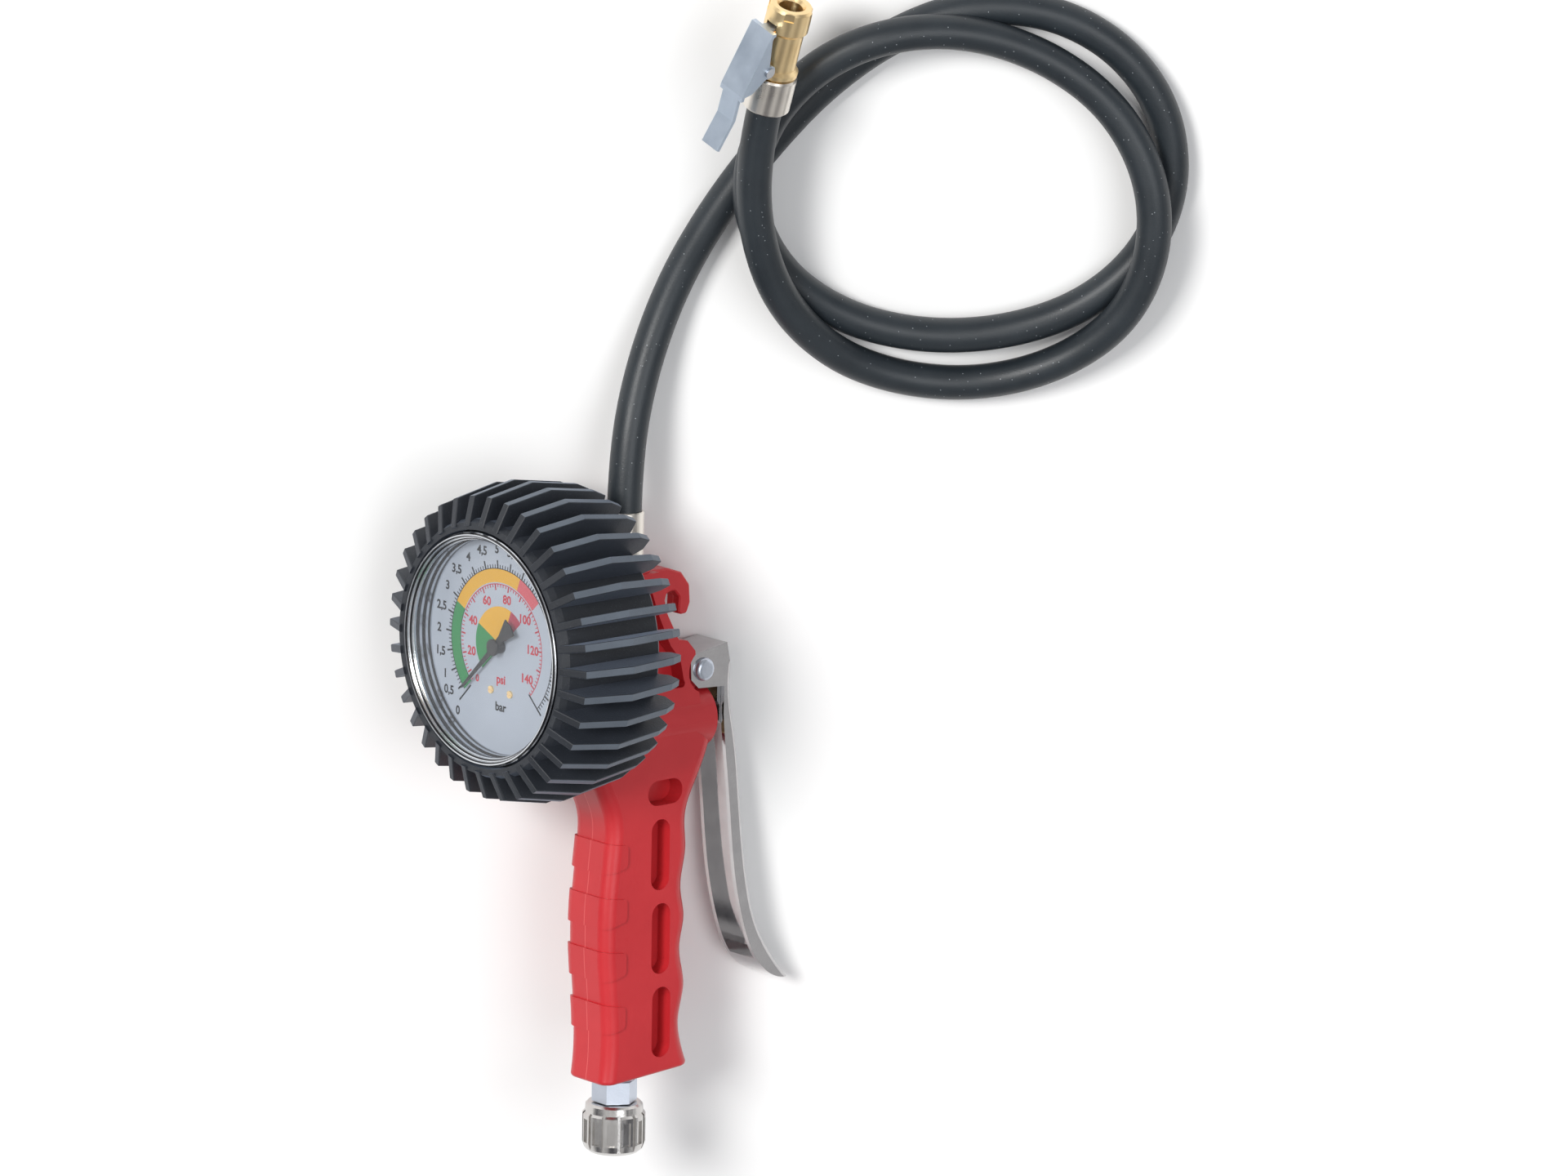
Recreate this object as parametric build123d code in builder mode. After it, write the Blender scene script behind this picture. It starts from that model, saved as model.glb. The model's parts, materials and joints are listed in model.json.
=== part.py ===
from build123d import *
import os
from math import cos, pi, radians, sin, tan

# Hand-held tyre inflator gun: a red grip body with an air valve inside, a squeeze lever, a dial
# gauge in a ribbed rubber boot, a swivel inlet nut, a rubber hose and a clip-on tyre valve chuck.
#
# The gun is drawn upright: X across its width, Y from the dial (minus) back to the lever (plus),
# Z along the grip, with the inlet and outlet both on the Z axis and the dial's centre at Z = 0.
# Every gun piece is then laid down in its resting place on a table. All lengths are millimetres.

os.makedirs("parts", exist_ok=True)

# ---- driving dimensions: body and grip ------------------------------------------------------
BODY_HALF = 11.0          # half the thickness of the red body
BODY_TOP = 19.5           # top face of the body above the dial's centre
BODY_FRONT = -19.0        # flat face behind the gauge boot
GRIP_BOTTOM = -160.0      # lower end of the grip
GRIP_ROUND = 4.6          # rounding of the grip's long edges
PAD_TOP = -73.6           # top of the first finger pad
PAD_PITCH = 19.1          # one finger pad to the next
PAD_HEIGHT = 11.0
PAD_COUNT = 4
PAD_PROUD = 0.6           # how far a pad stands off the grip
SLOT_Y = 9.7              # centre line of the grip's side slots
SLOT_WIDTH = 8.3
SLOT_LENGTH = 25.2
SLOT_PITCH = 30.0
SLOT_TOP = -67.6
SLOT_DEPTH = 6.5
BOSS_Z = -35.5            # axis of the valve boss
BOSS_R = 11.4
UPPER_HALF = 9.6          # half the thickness of the body above the valve boss
BOSS_END = 34.5           # rear end of the valve boss
WEB_HALF = 3.5            # half the thickness of the web between the pockets
CLEAR = 0.3               # working gap between soft or curved neighbours

# ---- driving dimensions: lever --------------------------------------------------------------
PIVOT_Y, PIVOT_Z = 30.5, -17.8
LUG_HALF = 6.0            # half the width of the body's pivot lug
LUG_R = 4.9
CHEEK_SWEEP = 8.0         # clearance round the pivot for the lever's cheeks
LEVER_HALF = 8.0          # half the outer width of the lever channel
LEVER_SHEET = 1.6
LEVER_PIN_R = 2.5
PUSHER_HALF = 6.3

# ---- driving dimensions: valve --------------------------------------------------------------
BORE_R = 7.0
STEM_R = 2.0
RUNNING = 0.06            # radial play of a moving part in its bearing
CAP_R = 4.2
CAP_END = 39.2            # rear face of the plunger cap

# ---- driving dimensions: gauge --------------------------------------------------------------
GAUGE_FRONT = -64.5       # front rim of the bezel
CASE_R = 39.6
CASE_WALL = 1.2
BEZEL_R = 40.2
DIAL_R = 38.0
DIAL_Y = -54.0            # face of the dial
LENS_Y = -61.3
LENS_THICK = 1.2
NEEDLE_Y = -57.1          # rear face of the needle
NEEDLE_LENGTH = 24.5
SCREW_X, SCREW_Z = 5.0, -16.0
BOOT_TUBE_R = 44.5
BOOT_R = 55.6             # tips of the boot's ribs
BOOT_BACK = -20.0
RIB_COUNT = 36
RIB_THICK = 2.7
NEEDLE_ZERO = 45.0        # the needle rests this far left of straight down, in degrees
PINION_R = 2.0
GEAR_RATIO = 9
ARBOR_R = 0.6
SECTOR_ARBOR_R = 0.8
PLATE_FACE = 52.2         # front face of the movement's front plate
SECTOR_DROP = 20.2        # distance from the needle arbor down to the sector's pivot

# ---- driving dimensions: inlet, outlet and hose ---------------------------------------------
NUT_R = 11.0
NUT_TOP = -169.0
NUT_BOTTOM = -186.5
THREAD_R = 5.72           # minor radius of a G1/4 thread
FERRULE_R = 6.9
FERRULE_LOW = 24.0
FERRULE_TOP = 40.6
HOSE_R = 6.0
HOSE_START = 36.2         # the hose begins this high, inside its ferrule

# ---- driving dimensions: chuck on the hose end (its own Z axis points out of the mouth) -----
CHUCK_R = 7.6
CHUCK_LENGTH = 39.5       # from the hose side of the ferrule to the mouth
MOUTH_R = 4.1             # clears a 7.7 mm tyre valve thread
SEAL_R = 4.6              # the wider seat of the rubber seal behind the mouth
CHUCK_FERRULE_R = 8.2
CHUCK_FERRULE_LENGTH = 13.0
HOSE_DEPTH = 5.9          # how far the hose sits inside the chuck's ferrule
CLIP_HALF = 5.4           # half the width of the clip lever's plate
CLIP_SHEET = 1.2
JAW_HALF = 2.0            # half the width of the jaw that grips the tyre valve
CLIP_PIN_X, CLIP_PIN_Z = 8.4, 17.5
CLIP_ROLL = 40.0          # how far the clip is rolled up from the table, in degrees

# ---- resting place --------------------------------------------------------------------------
# The gun lies on a rear edge of the boot, the lever's shoulder and the lever's tip.
REST_TURNS = (-98.52, 0.0, -52.21)     # tipped onto its back, after a roll about its long axis
REST_SHIFT = (8.98, 63.30, 29.81)      # puts the lying gun's footprint centre at the origin
REST = Location(REST_SHIFT, REST_TURNS)
gun_pieces = {}


def keep(piece, name):
    """Lay a finished gun piece down in its resting place and write it as one STEP file."""
    laid = REST * piece.part
    laid.label = name
    export_step(laid, f"parts/{name}.step")
    gun_pieces[name] = laid


def turned(profile, axis, plane):
    """Make a piece by turning a closed outline of (along, radius) or (radius, along) points."""
    with BuildPart() as piece:
        with BuildSketch(plane):
            with BuildLine():
                Polyline(*profile, close=True)
            make_face()
        revolve(axis=axis)
    return piece


def gauge_turned(profile):
    """Turn an outline of (y, radius) points about the gauge's axis."""
    return turned(profile, Axis.Y, Plane.YZ)


def stack_turned(profile):
    """Turn an outline of (radius, z) points about the grip's axis."""
    return turned(profile, Axis.Z, Plane.XZ)


# ---- grip body: grip, neck, valve boss, webbed upper body, hook and pivot lug ----------------
front_points = [(-19, -50), (-15.2, -58.5), (-12.5, -65), (-12.3, -77), (-14.2, -96),
                (-14.4, -112), (-12.4, -138), (-13.4, GRIP_BOTTOM)]
with BuildPart() as pad_skin:
    with BuildSketch(Plane.YZ):
        with BuildLine():
            skin_front = Spline(*[(y - PAD_PROUD, z) for y, z in front_points])
            Polyline(skin_front @ 1, (2, GRIP_BOTTOM), (2, -50), skin_front @ 0)
        make_face()
    extrude(amount=BODY_HALF + PAD_PROUD, both=True)
    skin_edges = pad_skin.edges().filter_by(
        lambda e: abs(abs(e.center().X) - BODY_HALF - PAD_PROUD) < 0.01 and e.length > 80
        and e.center().Y < -5)
    fillet(skin_edges, radius=GRIP_ROUND)

with BuildPart() as grip_body:
    with BuildSketch(Plane.YZ):
        with BuildLine():
            grip_front = Spline(*front_points)
            grip_foot = Line(grip_front @ 1, (26.0, GRIP_BOTTOM + 2.4))
            grip_back = Spline(grip_foot @ 1, (22.8, -149), (21.6, -141), (23.8, -128.5),
                               (21.6, -115), (23.3, -104), (21.6, -93.8), (23.5, -80),
                               (23.0, -68), (27.0, -57.5), (33.0, -44))
            Polyline(grip_back @ 1, (20, -35), (BODY_FRONT, -35), grip_front @ 0)
        make_face()
    extrude(amount=BODY_HALF, both=True)
    long_edges = grip_body.edges().filter_by(
        lambda e: abs(abs(e.center().X) - BODY_HALF) < 0.01 and e.length > 80)
    fillet(long_edges, radius=GRIP_ROUND)
    foot_edges = grip_body.faces().sort_by(Axis.Z)[0].edges()
    fillet(foot_edges, radius=1.2)

    # finger pads, raised a little from the front of the grip and wrapped onto its sides
    for i in range(PAD_COUNT):
        top = PAD_TOP - i * PAD_PITCH
        low = top - PAD_HEIGHT
        with BuildPart(mode=Mode.PRIVATE) as pad:
            with BuildSketch(Plane.YZ) as pad_side:
                with BuildLine():
                    Polyline((-20, low), (-14, low), (-5.4, low + 2.2), (-5.4, top - 1.2),
                             (-14, top), (-20, top), close=True)
                make_face()
                fillet(pad_side.vertices().group_by(Axis.X)[-1], radius=1.8)
            extrude(amount=BODY_HALF + 2, both=True)
            add(pad_skin.part, mode=Mode.INTERSECT)
        add(pad.part)

    # valve boss, a drum across the top of the grip
    with BuildSketch(Plane.XZ.offset(-BOSS_END)):
        with Locations((0, BOSS_Z)):
            Circle(BOSS_R)
    extrude(amount=BOSS_END - BODY_FRONT - 4)

    # upper body, from the gauge back to the sloping rear flange
    with BuildSketch(Plane.YZ):
        with BuildLine():
            Polyline((BODY_FRONT, -46), (BODY_FRONT, BODY_TOP - 4), (BODY_FRONT + 4, BODY_TOP),
                     (8, BODY_TOP), (12, 4.5), (17.5, -5.5), (21.5, -6.2), (25.2, -10.3),
                     (26.2, -20), (28.5, -31), (28, -44), (10, -50), close=True)
        make_face()
    extrude(amount=UPPER_HALF, both=True)

# pockets on both sides of the web, with the columns that carry the air left standing
with BuildPart() as pockets:
    for side in (1, -1):
        with BuildSketch(Plane.YZ.offset(side * WEB_HALF)):
            with BuildLine():
                Polyline((BODY_FRONT + 3, -22.5), (BODY_FRONT + 3, BODY_TOP - 7),
                         (BODY_FRONT + 7, BODY_TOP - 3.6), (3.8, BODY_TOP - 3.6), (8.2, 4.5),
                         (13.8, -7.0), (18.4, -12.5), (20.2, -20), (21.4, -22.5), close=True)
            make_face()
        extrude(amount=side * BODY_HALF)
    fillet(pockets.edges().filter_by(Axis.X), radius=1.2)
    Cylinder(6.2, 60, mode=Mode.SUBTRACT)
    with BuildSketch(Plane.XZ):
        Circle(7.5)
    extrude(amount=25, mode=Mode.SUBTRACT)

with BuildPart() as hook:
    with BuildSketch(Plane.YZ) as hook_side:
        with BuildLine():
            Polyline((4, BODY_TOP - 0.4), (17.6, BODY_TOP - 0.8), (23.6, 16.6), (27.4, 11.8),
                     (27.9, 5.4), (26.4, 1.8), (22.6, 1.6), (22.9, 8.0), (20.6, 10.6),
                     (17.2, 9.9), (16.2, 6.6), (17.2, 2.6), (14.0, -1.0), (6, 4), close=True)
        make_face()
        round_ends = hook_side.vertices().filter_by(lambda v: v.X > 16.9 and v.Y > 1.5)
        fillet(round_ends, radius=1.4)
    extrude(amount=WEB_HALF, both=True)
    chamfer(hook.edges().filter_by(lambda e: abs(abs(e.center().X) - WEB_HALF) < 0.01
                                   and e.center().Y > 18.5), length=0.5)

with BuildPart() as grip_shell:
    add(grip_body.part)
    add(pockets.part, mode=Mode.SUBTRACT)
    add(hook.part)

    # outlet collar on the top face, and the pivot lug behind the rear flange
    with BuildSketch(Plane.XY.offset(BODY_TOP - 3)):
        Circle(9.2)
    extrude(amount=4.2)
    for side in (1, -1):
        with BuildSketch(Plane.YZ.offset(side * LUG_HALF)):
            with Locations((PIVOT_Y, PIVOT_Z)):
                Circle(CHEEK_SWEEP)
        extrude(amount=side * BODY_HALF, mode=Mode.SUBTRACT)
    with BuildSketch(Plane.YZ):
        with Locations((PIVOT_Y, PIVOT_Z)):
            Circle(LUG_R)
        with BuildLine():
            Polyline((22, -12), (24.5, -13.6), (PIVOT_Y - 1, PIVOT_Z + LUG_R - 0.4),
                     (PIVOT_Y + 1, PIVOT_Z - LUG_R + 0.2), (24, -27), close=True)
        make_face()
    extrude(amount=LUG_HALF, both=True)

    # side slots: one across under the boss, three along the grip
    for side in (1, -1):
        with BuildSketch(Plane.YZ.offset(side * (BODY_HALF + 0.01))):
            with Locations((11.4, -58.2)):
                SlotOverall(15.6, 8.9)
            for i in range(3):
                with Locations((SLOT_Y + 0.8 * i, SLOT_TOP - SLOT_LENGTH / 2 - i * SLOT_PITCH)):
                    SlotOverall(SLOT_LENGTH, SLOT_WIDTH, rotation=90)
        extrude(amount=-side * SLOT_DEPTH, mode=Mode.SUBTRACT)

    # bores: pivot, valve, inlet tube, air passage and outlet, gauge stem
    with BuildSketch(Plane.YZ):
        with Locations((PIVOT_Y, PIVOT_Z)):
            Circle(LEVER_PIN_R + 0.05)
    extrude(amount=LUG_HALF + 1, both=True, mode=Mode.SUBTRACT)
    with BuildSketch(Plane.XZ.offset(-BOSS_END - 1)):
        with Locations((0, BOSS_Z)):
            Circle(BORE_R)
    extrude(amount=BOSS_END + 1 + 9, mode=Mode.SUBTRACT)
    with BuildSketch(Plane.XY.offset(GRIP_BOTTOM - 1)):
        Circle(4.0)
    extrude(amount=BOSS_Z - GRIP_BOTTOM + 1, mode=Mode.SUBTRACT)
    with BuildSketch(Plane.XY.offset(GRIP_BOTTOM - 1)):
        Circle(5.5)
    extrude(amount=13, mode=Mode.SUBTRACT)
    with BuildSketch(Plane.XY.offset(BOSS_Z)):
        Circle(2.5)
    extrude(amount=BODY_TOP - BOSS_Z, mode=Mode.SUBTRACT)
    with BuildSketch(Plane.XY.offset(BODY_TOP - 8.5)):
        Circle(5.0)
    extrude(amount=12, mode=Mode.SUBTRACT)
    with BuildSketch(Plane.XZ.offset(2.0)):
        Circle(2.5)
    extrude(amount=20, mode=Mode.SUBTRACT)
    with BuildSketch(Plane.XZ.offset(5.5)):
        Circle(4.0)
    extrude(amount=20, mode=Mode.SUBTRACT)
keep(grip_shell, "grip_body")

# ---- air path inside the body ----------------------------------------------------------------
with BuildPart() as air_tube:
    with BuildSketch(Plane.XY.offset(GRIP_BOTTOM + 12)):
        Circle(3.95)
        Circle(2.6, mode=Mode.SUBTRACT)
    extrude(amount=BOSS_Z - BORE_R - 0.6 - GRIP_BOTTOM - 12)
keep(air_tube, "air_tube")


def valve_turned(profile):
    """Turn an outline of (y, radius) points about the valve's own axis."""
    with BuildPart() as piece:
        with BuildSketch(Plane.YZ):
            with BuildLine():
                Polyline(*[(y, BOSS_Z + r) for y, r in profile], close=True)
            make_face()
        revolve(axis=Axis((0, 0, BOSS_Z), (0, 1, 0)))
    return piece


# seat sleeve, with a port below for the inlet tube and one above for the outlet passage
with BuildPart() as valve_seat:
    add(valve_turned([(-3.0, 4.5), (-3.0, 6.95), (16.0, 6.95), (16.0, 2.2), (13.0, 2.2),
                      (13.0, 4.5), (7.0, 4.5), (6.0, 2.9), (3.2, 2.9), (2.2, 4.5)]).part)
    with BuildSketch(Plane.XY.offset(BOSS_Z - 8)):
        Circle(2.0)
    extrude(amount=16, mode=Mode.SUBTRACT)
keep(valve_seat, "valve_seat")
valve_plug = valve_turned([(16.2, STEM_R + RUNNING), (16.2, 6.95), (BOSS_END, 6.95), (BOSS_END, 9.9),
                           (BOSS_END + 0.7, 9.9), (BOSS_END + 1.0, 9.4), (BOSS_END + 1.0, 4.6),
                           (31.0, 4.6), (31.0, STEM_R + RUNNING)])
keep(valve_plug, "valve_plug")
plug_seal = valve_turned([(-5.2, 4.6), (-5.2, 6.9), (-3.1, 6.9), (-3.1, 4.6)])
keep(plug_seal, "seat_seal")
valve_plunger = valve_turned([(-1.6, 0), (-1.6, 3.6), (0.2, 3.6), (0.2, 1.6), (3.0, 1.6),
                              (3.0, 1.5), (10.0, 1.5), (10.0, STEM_R), (36.4, STEM_R), (36.4, 0)])
keep(valve_plunger, "valve_plunger")
plunger_cap = valve_turned([(36.4, 0), (36.4, CAP_R), (CAP_END - 1.2, CAP_R),
                            (CAP_END - 0.4, CAP_R - 1.4), (CAP_END, CAP_R - 3), (CAP_END, 0)])
keep(plunger_cap, "plunger_cap")
poppet_seal = valve_turned([(0.3, 1.65), (0.3, 3.9), (1.9, 3.9), (1.9, 1.65)])
keep(poppet_seal, "poppet_seal")
with BuildPart() as valve_spring:
    with BuildLine() as coil:
        Helix(pitch=1.7, height=4.9, radius=2.7, center=(0, -7.6, BOSS_Z), direction=(0, 1, 0))
    with BuildSketch(Plane(origin=coil.line @ 0, z_dir=coil.line % 0)):
        Circle(0.4)
    sweep()
keep(valve_spring, "valve_spring")

# ---- squeeze lever: a pressed steel channel on a headed pin ----------------------------------
lever_back = [(43.4, -19.8), (43.8, -32.0), (46.0, -43.3), (48.7, -63.9),
              (53.2, -96.9), (57.5, -112.0), (64.8, -124.5), (72.8, -134.0)]
with BuildPart() as lever:
    with BuildSketch(Plane.YZ):
        with BuildLine():
            Spline(*lever_back)
            Spline((72.8, -134.0), (66.0, -132.6), (57.5, -125.0), (51.5, -112.0), (47.6, -97.0),
                   (43.4, -64.0), (41.0, -44.0), (40.2, -35.0))
            Polyline((40.2, -35.0), (40.2, -25.0), (28.4, -24.3), (25.0, -21.0), (24.6, -13.4),
                     (26.4, -12.0), (41.2, -9.6), (43.4, -19.8))
        make_face()
    extrude(amount=LEVER_HALF, both=True)
    soft = lever.edges().filter_by(lambda e: abs(abs(e.center().X) - LEVER_HALF) < 0.01
                                   and e.length > 80 and e.center().Y > 50)
    fillet(soft, radius=1.5)
    with BuildSketch(Plane.YZ):
        with BuildLine():
            Spline((41.8, -19.8), (42.1, -32.0), (44.3, -43.6), (47.0, -64.2), (51.4, -97.2),
                   (55.3, -111.5), (60.8, -122.5))
            Polyline((60.8, -122.5), (57.0, -127.0), (20.0, -127.0), (20.0, -5), (26.7, -5),
                     (26.7, -13.15), (40.1, -11.0), (41.8, -19.8))
        make_face()
    extrude(amount=LEVER_HALF - LEVER_SHEET, both=True, mode=Mode.SUBTRACT)
    with BuildSketch(Plane.YZ):
        with Locations((PIVOT_Y, PIVOT_Z)):
            Circle(LEVER_PIN_R)
    extrude(amount=LEVER_HALF + 1, both=True, mode=Mode.SUBTRACT)
keep(lever, "lever")

with BuildPart() as lever_pusher:
    with BuildSketch(Plane.YZ):
        with BuildLine():
            Polyline((38.5, -24.8), (41.2, -24.8), (41.3, -32.0), (42.2, -37.6), (40.2, -38.6),
                     (39.6, -37.6), (39.6, -32.0), (38.5, -30.4), close=True)
        make_face()
    extrude(amount=PUSHER_HALF, both=True)
    fillet(lever_pusher.edges().filter_by(Axis.X).group_by(Axis.Y)[0], radius=0.8)
keep(lever_pusher, "lever_pusher")

with BuildPart() as lever_pin:
    with BuildSketch(Plane.YZ.offset(-LEVER_HALF - 2.2)):
        with Locations((PIVOT_Y, PIVOT_Z)):
            Circle(LEVER_PIN_R)
    extrude(amount=2 * LEVER_HALF + 2.2)
    with BuildSketch(Plane.YZ.offset(LEVER_HALF)):
        with Locations((PIVOT_Y, PIVOT_Z)):
            Circle(4.1)
    extrude(amount=1.9)
    fillet(lever_pin.faces().sort_by(Axis.X)[-1].edges(), radius=1.6)
    with BuildSketch(Plane.YZ.offset(-LEVER_HALF - 1.3)):
        with Locations((PIVOT_Y, PIVOT_Z)):
            Circle(LEVER_PIN_R + 1)
            Circle(1.9, mode=Mode.SUBTRACT)
    extrude(amount=0.9, mode=Mode.SUBTRACT)
keep(lever_pin, "lever_pin")

with BuildPart() as pin_clip:
    with BuildSketch(Plane.YZ.offset(-LEVER_HALF - 1.2)) as clip_face:
        with Locations((PIVOT_Y, PIVOT_Z)):
            Circle(4.4)
            Circle(1.95, mode=Mode.SUBTRACT)
        with Locations((PIVOT_Y, PIVOT_Z - 3)):
            Rectangle(2.6, 6, mode=Mode.SUBTRACT)
    extrude(amount=0.7)
keep(pin_clip, "pin_clip")

# ---- dial gauge: boot, case, bezel, lens, dial ------------------------------------------------
with BuildPart() as gauge_boot:
    add(gauge_turned([(-63.4, 41.0), (-63.4, 43.4), (-61.0, BOOT_TUBE_R), (-22.0, BOOT_TUBE_R),
                      (BOOT_BACK, BOOT_TUBE_R - 2), (BOOT_BACK, 8.0), (-22.4, 8.0),
                      (-22.4, CASE_R + CLEAR), (-57.4, CASE_R + CLEAR), (-57.4, 41.0)]).part)
    with BuildPart(mode=Mode.PRIVATE) as rib:
        with BuildSketch(Plane.YZ):
            with BuildLine():
                Polyline((-64.2, 42.4), (-60.4, 52.2), (-42.0, BOOT_R), (-22.0, 52.6),
                         (-17.0, 50.4), (-17.4, 46.2), (-21.4, 43.0), (-21.4, 41.6), (-60, 41.6),
                         close=True)
            make_face()
        extrude(amount=RIB_THICK / 2, both=True)
        crest = rib.edges().filter_by(lambda e: abs(abs(e.center().X) - RIB_THICK / 2) < 0.01
                                      and e.center().Z > 46)
        fillet(crest, radius=0.45)
    for i in range(RIB_COUNT):
        add(rib.part.rotate(Axis.Y, i * 360 / RIB_COUNT))
    # the lowest ribs stop short of the grip's neck
    with BuildSketch(Plane.XZ.offset(-BODY_FRONT + 0.4)):
        with Locations((0, -50)):
            Rectangle(2 * BODY_HALF + 2, 22)
    extrude(amount=-5, mode=Mode.SUBTRACT)
keep(gauge_boot, "gauge_boot")

gauge_case = gauge_turned([(-59.0, CASE_R), (-24.4, CASE_R), (-22.6, CASE_R - 2), (-22.6, 8.2),
                           (-24.2, 8.2), (-24.2, CASE_R - CASE_WALL), (-59.0, CASE_R - CASE_WALL)])
keep(gauge_case, "gauge_case")

ring_steps = 4
bezel_outline = [(-59.2, DIAL_R + 0.2), (-59.2, CASE_R), (-57.6, CASE_R), (-57.6, BEZEL_R),
                 (GAUGE_FRONT + 1.0, BEZEL_R), (GAUGE_FRONT, BEZEL_R - 0.7)]
for i in range(ring_steps):
    ring_y = GAUGE_FRONT + 0.1 + i * 0.66
    ring_r = BEZEL_R - 1.2 - i * 0.45
    bezel_outline += [(ring_y, ring_r), (ring_y + 0.4, ring_r - 0.1)]
bezel_outline += [(LENS_Y - 0.6, DIAL_R - 0.6), (LENS_Y - 0.1, DIAL_R - 0.6),
                  (LENS_Y - 0.1, DIAL_R + 0.2)]
bezel_ring = gauge_turned(bezel_outline)
keep(bezel_ring, "bezel_ring")

with BuildPart() as gauge_lens:
    with BuildSketch(Plane.XZ.offset(-LENS_Y)):
        Circle(DIAL_R + 0.1)
    extrude(amount=-LENS_THICK)
keep(gauge_lens, "gauge_lens")
spacer_ring = gauge_turned([(-60.0, 38.15), (DIAL_Y - 0.1, 38.15), (DIAL_Y - 0.1, 37.3),
                            (-57.2, 37.3), (-57.2, 37.8), (-60.0, 37.8)])
keep(spacer_ring, "spacer_ring")

with BuildPart() as dial_plate:
    with BuildSketch(Plane.XZ.offset(-DIAL_Y)):
        Circle(DIAL_R - 0.1)
        Circle(1.6, mode=Mode.SUBTRACT)
        with Locations((-SCREW_X, SCREW_Z), (SCREW_X, SCREW_Z)):
            Circle(0.8, mode=Mode.SUBTRACT)
    extrude(amount=-0.6)
keep(dial_plate, "dial_plate")

with BuildPart() as dial_screws:
    with BuildSketch(Plane.XZ.offset(-DIAL_Y)):
        with Locations((-SCREW_X, SCREW_Z), (SCREW_X, SCREW_Z)):
            Circle(0.75)
    extrude(amount=-1.6)
    with BuildSketch(Plane.XZ.offset(-DIAL_Y)):
        with Locations((-SCREW_X, SCREW_Z), (SCREW_X, SCREW_Z)):
            Circle(1.3)
    extrude(amount=0.6)
    with BuildSketch(Plane.XZ.offset(-DIAL_Y + 0.6)):
        with Locations((-SCREW_X, SCREW_Z), (SCREW_X, SCREW_Z)):
            Rectangle(3, 0.45)
    extrude(amount=-0.3, mode=Mode.SUBTRACT)
keep(dial_screws, "dial_screws")

# ---- dial gauge: needle, arbor, movement and pressure tube --------------------------------------
NEEDLE_THICK = 0.5
NEEDLE_PLANE = Plane.XZ.offset(-NEEDLE_Y + NEEDLE_THICK)
with BuildPart() as needle:
    with BuildSketch(NEEDLE_PLANE):
        with BuildLine():
            Polyline((0, -NEEDLE_LENGTH), (0.45, 1.2 - NEEDLE_LENGTH), (0.95, 0), (1.3, 5),
                     (3.4, 11.6), (0, 12.2), (-3.4, 11.6), (-1.3, 5), (-0.95, 0),
                     (-0.45, 1.2 - NEEDLE_LENGTH), close=True)
        make_face()
        Circle(2.4)
    extrude(amount=-NEEDLE_THICK)
needle.part = needle.part.rotate(Axis.Y, NEEDLE_ZERO)
keep(needle, "needle")
with BuildPart() as needle_hub:
    with BuildSketch(NEEDLE_PLANE):
        Circle(2.9)
    extrude(amount=0.9)
    fillet(needle_hub.faces().sort_by(Axis.Y)[0].edges(), radius=0.4)
keep(needle_hub, "needle_hub")
needle_arbor = gauge_turned([(NEEDLE_Y, 0), (NEEDLE_Y, 2.4), (DIAL_Y - 0.4, 2.4),
                             (DIAL_Y - 0.4, ARBOR_R), (-45.1, ARBOR_R), (-45.1, 0)])
keep(needle_arbor, "needle_arbor")


def toothed(radius, tooth, count, first, last):
    """Give the points of a toothed rim of the given tip radius between two angles."""
    step = 360 / count
    turns = round((last - first) / step)
    rim = []
    for n in range(turns):
        start = radians(first + n * step)
        quarter = radians(step) / 4
        rim += [(radius - tooth, start), (radius - tooth, start + quarter),
                (radius, start + 1.4 * quarter), (radius, start + 2.6 * quarter),
                (radius - tooth, start + 3 * quarter)]
    return [(r * cos(a), r * sin(a)) for r, a in rim]


PINION_TEETH = 10
with BuildPart() as pinion:
    with BuildSketch(Plane.XZ.offset(50.2)):
        with BuildLine():
            Polyline(*toothed(PINION_R, 0.6, PINION_TEETH, 0, 360), close=True)
        make_face()
        Circle(ARBOR_R + 0.02, mode=Mode.SUBTRACT)
    extrude(amount=-2.4)
keep(pinion, "pinion")
SECTOR_PLANE = Plane(origin=(0, -49.8, -SECTOR_DROP), x_dir=(1, 0, 0), z_dir=(0, -1, 0))
SECTOR_AXIS = Axis((0, 0, -SECTOR_DROP), (0, 1, 0))
with BuildPart() as sector_gear:
    with BuildSketch(SECTOR_PLANE):
        with BuildLine():
            Polyline(*toothed(GEAR_RATIO * PINION_R, 0.6, PINION_TEETH * GEAR_RATIO, 66, 114),
                     (-2.2, 1), (-1.8, -6), (1.8, -6), (2.2, 1), close=True)
        make_face()
        Circle(SECTOR_ARBOR_R + 0.02, mode=Mode.SUBTRACT)
        with BuildLine():
            Polyline((-3.6, 13.6), (-1.3, 4), (1.3, 4), (3.6, 13.6), close=True)
        make_face(mode=Mode.SUBTRACT)
    extrude(amount=-1.6)
sector_gear.part = sector_gear.part.rotate(SECTOR_AXIS, 15)
keep(sector_gear, "sector_gear")
with BuildPart() as sector_arbor:
    with BuildSketch(Plane.XZ.offset(PLATE_FACE)):
        with Locations((0, -SECTOR_DROP)):
            Circle(SECTOR_ARBOR_R)
    extrude(amount=-7.2)
keep(sector_arbor, "sector_arbor")

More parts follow.
